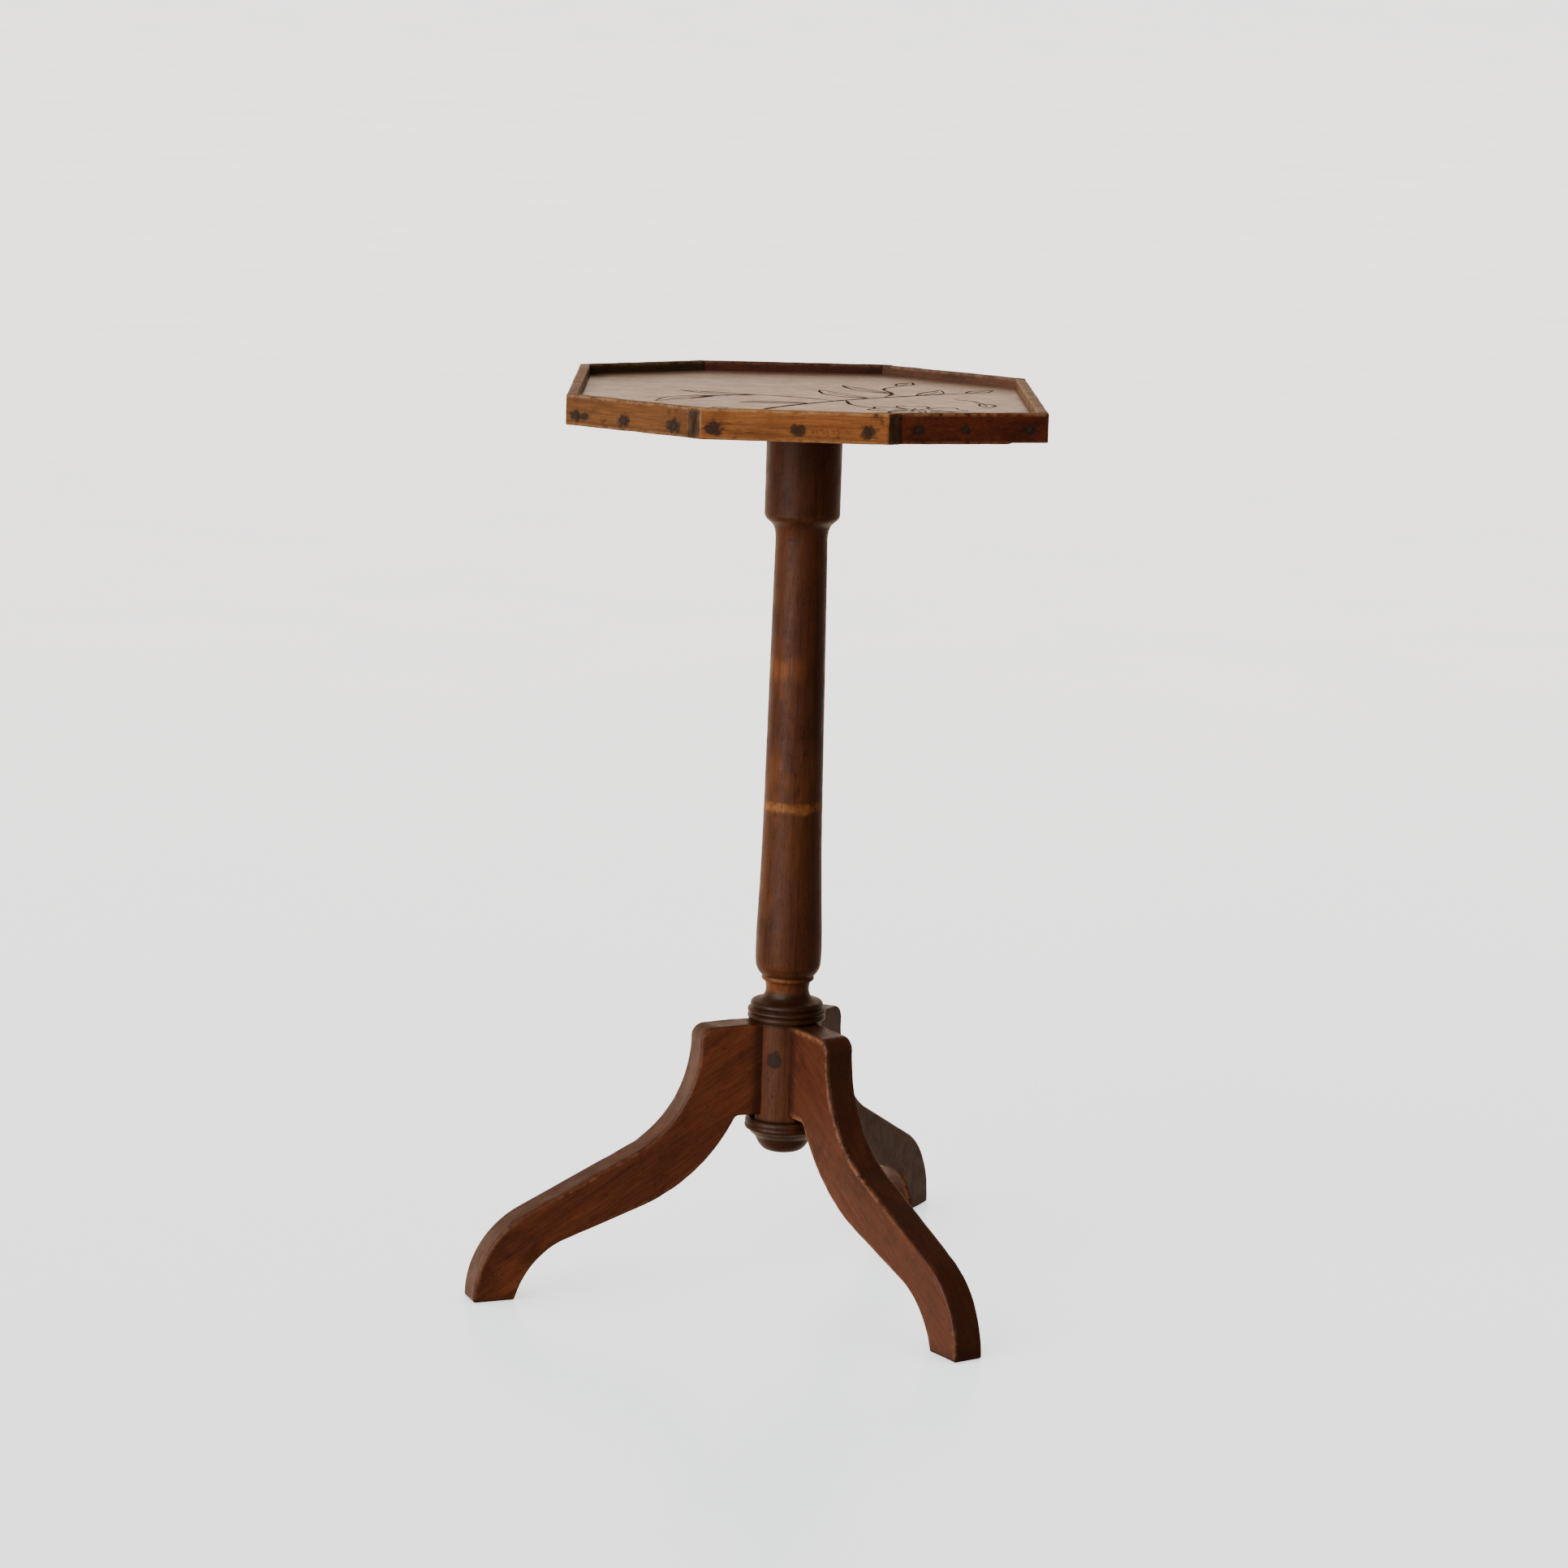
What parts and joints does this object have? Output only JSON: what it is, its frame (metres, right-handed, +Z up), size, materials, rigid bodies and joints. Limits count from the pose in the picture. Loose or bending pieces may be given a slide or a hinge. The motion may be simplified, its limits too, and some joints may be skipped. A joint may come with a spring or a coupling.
{
  "type": "tilt top table",
  "caption": "Small wooden tilt-top table: an eight-sided tray with a low rim on a turned pillar and S-curved legs; the tray tips upright and a turn button holds it level.",
  "frame": {"origin": "on the pillar's axis at floor level", "axes": "+Z up; +X towards the right end of the tray, the side that rises when the tray tips; +Y towards the rear"},
  "size_m": [0.417, 0.4524, 0.7],
  "materials": {
    "dark_wood": "worn reddish-brown stained wood with a soft waxed sheen",
    "rim_wood": "honey-brown worn wood, paler along its edges",
    "rim_wood_red": "dark red-brown worn wood",
    "tray_board": "faded greyish board with a satin wax and inked line drawing",
    "rough_wood": "unfinished aged wood on the underside",
    "old_iron": "dark rusted iron"
  },
  "bodies": {
    "stand": {"pillar": "dark_wood", "leg_left": "dark_wood", "leg_right": "dark_wood", "leg_rear": "dark_wood", "drop_finial": "dark_wood", "hub_nail": "old_iron", "tilt_block": "rough_wood", "tenon_wedge": "rough_wood"},
    "tray": {"top_board": "tray_board", "rim_front": "rim_wood", "rim_front_right": "rim_wood_red", "rim_right": "rim_wood", "rim_rear_right": "rim_wood_red", "rim_rear": "rim_wood_red", "rim_rear_left": "rim_wood", "rim_left": "rim_wood", "rim_front_left": "rim_wood", "rim_nails": "old_iron", "bearer_front": "rough_wood", "bearer_rear": "rough_wood", "bearer_screws": "old_iron", "pivot_pin_front": "old_iron", "pivot_pin_rear": "old_iron", "turn_button_screw": "old_iron"},
    "catch": {"turn_button": "rough_wood"}
  },
  "joints": [
    {"name": "tray_tilt", "type": "hinge", "parent": "stand", "child": "tray", "pos_m": [-0.0207, 0, 0.6735], "axis": [0, -1, 0], "range_deg": [0, 90]},
    {"name": "catch_turn", "type": "hinge", "parent": "tray", "child": "catch", "pos_m": [0.046, 0, 0.6695], "axis": [0, 0, -1], "range_deg": [0, 90]}
  ]
}
